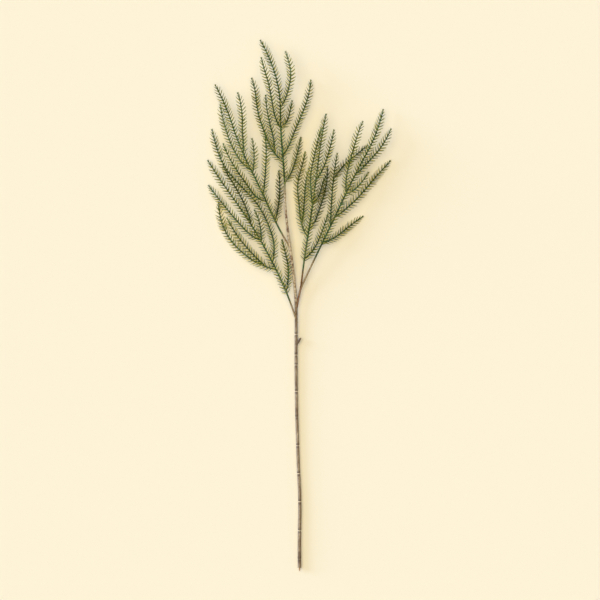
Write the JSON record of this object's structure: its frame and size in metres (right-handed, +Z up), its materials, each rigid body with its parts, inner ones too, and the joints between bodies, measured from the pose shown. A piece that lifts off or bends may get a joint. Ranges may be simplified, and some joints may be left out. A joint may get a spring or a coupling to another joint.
{
  "type": "spruce sprig",
  "caption": "Long bare-stemmed evergreen sprig lying flat, forked near the top into flat sprays of short-needled twigs.",
  "frame": {"origin": "centre of the footprint of the sprig as it lies, on the surface that it rests on", "axes": "+Y from the cut end of the stem towards the tips, +X to the right seen from above, +Z up"},
  "size_m": [0.281, 0.7964, 0.0268],
  "materials": {
    "bark": "matt, ringed with leaf scars",
    "cut_core": "matt, pale",
    "leader": "matt, brown petiole turning green",
    "needles": "satin, blue-green to olive"
  },
  "bodies": {
    "root": {"main_stem": "bark", "right_branch": "bark", "core_tip": "cut_core", "top_leader": "leader", "upper_left_leader": "leader", "lower_left_leader": "leader", "inner_right_leader": "leader", "outer_right_leader": "leader", "top_twig_1": "needles", "top_twig_2": "needles", "top_twig_3": "needles", "top_twig_4": "needles", "top_twig_5": "needles", "top_twig_6": "needles", "top_twig_7": "needles", "upper_left_twig_1": "needles", "upper_left_twig_2": "needles", "upper_left_twig_3": "needles", "upper_left_twig_4": "needles", "upper_left_twig_5": "needles", "upper_left_twig_6": "needles", "lower_left_twig_1": "needles", "lower_left_twig_2": "needles", "lower_left_twig_3": "needles", "lower_left_twig_4": "needles", "lower_left_twig_5": "needles", "lower_left_twig_6": "needles", "lower_left_twig_7": "needles", "inner_right_twig_1": "needles", "inner_right_twig_2": "needles", "inner_right_twig_3": "needles", "inner_right_twig_4": "needles", "inner_right_twig_5": "needles", "inner_right_twig_6": "needles", "inner_right_twig_7": "needles", "outer_right_twig_1": "needles", "outer_right_twig_2": "needles", "outer_right_twig_3": "needles", "outer_right_twig_4": "needles", "outer_right_twig_5": "needles", "outer_right_twig_6": "needles", "outer_right_twig_7": "needles"}
  },
  "joints": []
}
